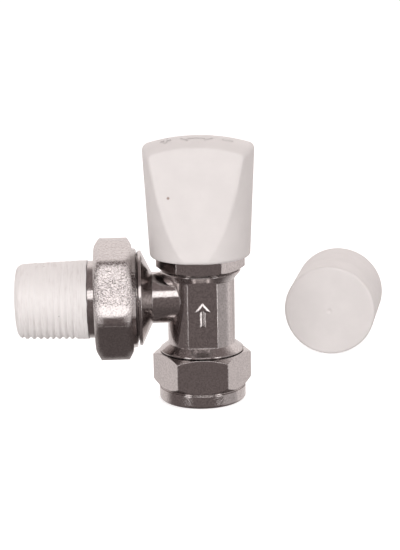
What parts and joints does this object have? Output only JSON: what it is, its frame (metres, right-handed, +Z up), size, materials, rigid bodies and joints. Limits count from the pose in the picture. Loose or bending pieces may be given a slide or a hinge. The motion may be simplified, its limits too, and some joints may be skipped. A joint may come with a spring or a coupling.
{
  "type": "lockshield radiator valve",
  "caption": "Angle radiator valve with compression pipe end, coned union with male taper tail, screw-down spindle under a two-flat wheelhead, and a loose round lockshield cap.",
  "frame": {"origin": "centre of the pipe entry, on the bottom face of the compression nut", "axes": "+Z up along the spindle, out of the pipe; -X along the radiator tail; the marked front of the barrel faces -Y"},
  "size_m": [0.1172, 0.0858, 0.0761],
  "materials": {
    "chrome": "polished",
    "brass": "machined",
    "white_plastic": "moulded, satin gloss",
    "thread_sealant": "dipped sealing coat",
    "nylon": "moulded",
    "packing": "turned",
    "rubber": "moulded",
    "spring_steel": "bright drawn"
  },
  "bodies": {
    "valve": {"valve_body": "chrome", "headwork": "chrome", "headwork_o_ring": "rubber", "gland_washer": "brass", "gland_packing": "packing", "gland_nut": "brass"},
    "jumper_assembly": {"jumper": "brass", "seat_washer": "rubber", "jumper_stud_nut": "brass"},
    "spindle_body": {"spindle": "brass"},
    "head": {"wheelhead": "white_plastic", "head_insert": "nylon", "head_grip_ring": "spring_steel"},
    "tail": {"union_tailpiece": "chrome", "thread_seal": "thread_sealant", "union_o_ring": "rubber"},
    "union_nut_body": {"union_nut": "chrome"},
    "olive_body": {"compression_olive": "brass"},
    "compression_nut_body": {"compression_nut": "chrome"},
    "loose_cap": {"lockshield_cap": "white_plastic"}
  },
  "joints": [
    {"name": "jumper_lift", "type": "slide", "parent": "valve", "child": "jumper_assembly", "axis": [0, 0, 1], "range_m": [0, 0.00375]},
    {"name": "spindle_turn", "type": "hinge", "parent": "jumper_assembly", "child": "spindle_body", "pos_m": [0, 0, 0.045], "axis": [0, 0, 1], "range_deg": [0, 900]},
    {"name": "wheelhead_pull", "type": "slide", "parent": "spindle_body", "child": "head", "axis": [0, 0, 1], "range_m": [0, 0.03]},
    {"name": "tail_travel", "type": "slide", "parent": "valve", "child": "tail", "axis": [-1, 0, 0], "range_m": [0, 0.00635]},
    {"name": "union_nut_turn", "type": "hinge", "parent": "tail", "child": "union_nut_body", "pos_m": [-0.024, 0, 0.03], "axis": [-1, 0, 0], "range_deg": [0, 1260]},
    {"name": "olive_travel", "type": "slide", "parent": "valve", "child": "olive_body", "axis": [0, 0, -1], "range_m": [0, 0.00545]},
    {"name": "compression_nut_turn", "type": "hinge", "parent": "olive_body", "child": "compression_nut_body", "pos_m": [0, 0, 0.007], "axis": [0, 0, -1], "range_deg": [0, 1080]},
    {"name": "cap_lift", "type": "slide", "parent": "valve", "child": "loose_cap", "axis": [0, 0, 1], "range_m": [0, 0.05]}
  ],
  "couplings": [
    {"joint": "jumper_lift", "follows": "spindle_turn", "m_per_rad": 0.00023873},
    {"joint": "tail_travel", "follows": "union_nut_turn", "m_per_rad": 0.0002887},
    {"joint": "olive_travel", "follows": "compression_nut_turn", "m_per_rad": 0.0002887}
  ]
}
